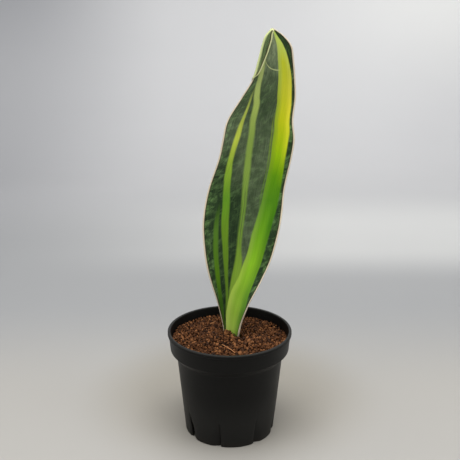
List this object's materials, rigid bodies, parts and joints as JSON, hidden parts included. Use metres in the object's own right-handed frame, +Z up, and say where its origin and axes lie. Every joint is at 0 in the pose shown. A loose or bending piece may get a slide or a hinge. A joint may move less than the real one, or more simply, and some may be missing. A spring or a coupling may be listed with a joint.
{
  "type": "potted snake plant",
  "caption": "Whale-fin snake plant with a tall variegated paddle leaf in a round black nursery pot filled with coarse brown potting granules.",
  "frame": {"origin": "centre of the pot's foot, on the surface that the pot stands on", "axes": "+Z up along the pot's axis, -Y towards the viewer and the leaf's upper face, +X to the viewer's right"},
  "size_m": [0.13, 0.13, 0.419],
  "materials": {
    "pot_plastic": "satin",
    "potting_granules": "rough",
    "leaf_tissue": "satin waxy",
    "rhizome_tissue": "matt"
  },
  "bodies": {
    "root": {"pot": "pot_plastic", "potting_mix": "potting_granules", "leaf": "leaf_tissue", "rhizome_with_roots": "rhizome_tissue"}
  },
  "joints": []
}
